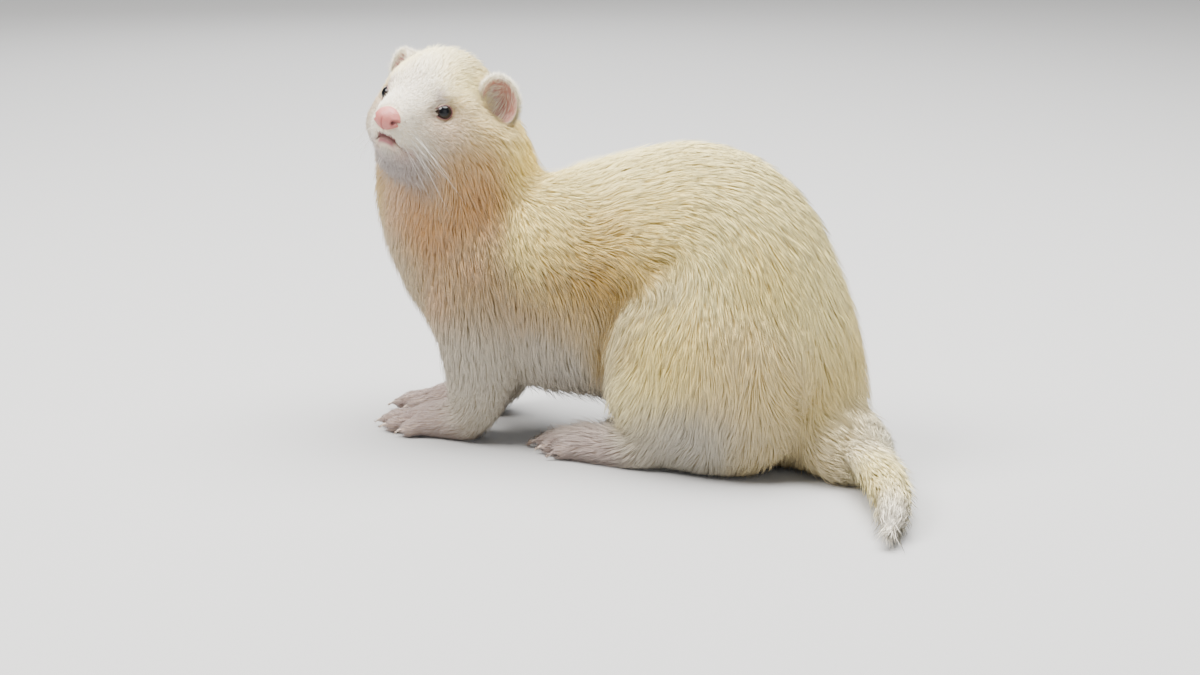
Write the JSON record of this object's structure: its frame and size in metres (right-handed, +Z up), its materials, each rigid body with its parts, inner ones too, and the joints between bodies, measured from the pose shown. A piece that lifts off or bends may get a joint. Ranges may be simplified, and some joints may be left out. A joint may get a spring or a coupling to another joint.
{
  "type": "ferret",
  "caption": "Life-size still model of a pale cream ferret, braced on its forelegs with an arched back, head turned to its left and tail curled on the floor.",
  "frame": {"origin": "bottom centre of the bounding box, on the floor", "axes": "the chest faces -Y, the tail trails towards +Y, the animal's left is +X and +Z is up; the head looks towards +X"},
  "size_m": [0.1504, 0.2754, 0.1746],
  "materials": {
    "cream_coat": "soft cream fur with an ochre undercoat, matt",
    "white_coat": "short white fur, matt",
    "pink_skin": "bare pink skin, slightly moist",
    "dark_eye": "glossy dark eye"
  },
  "bodies": {
    "root": {"torso": "cream_coat", "neck": "cream_coat", "head": "white_coat", "ear_left": "white_coat", "ear_right": "white_coat", "eye_left": "dark_eye", "eye_right": "dark_eye", "nose": "pink_skin", "foreleg_left": "cream_coat", "foreleg_right": "cream_coat", "forepaw_left": "pink_skin", "forepaw_right": "pink_skin", "thigh_left": "cream_coat", "thigh_right": "cream_coat", "hind_foot_left": "pink_skin", "hind_foot_right": "pink_skin", "tail": "cream_coat"}
  },
  "joints": []
}
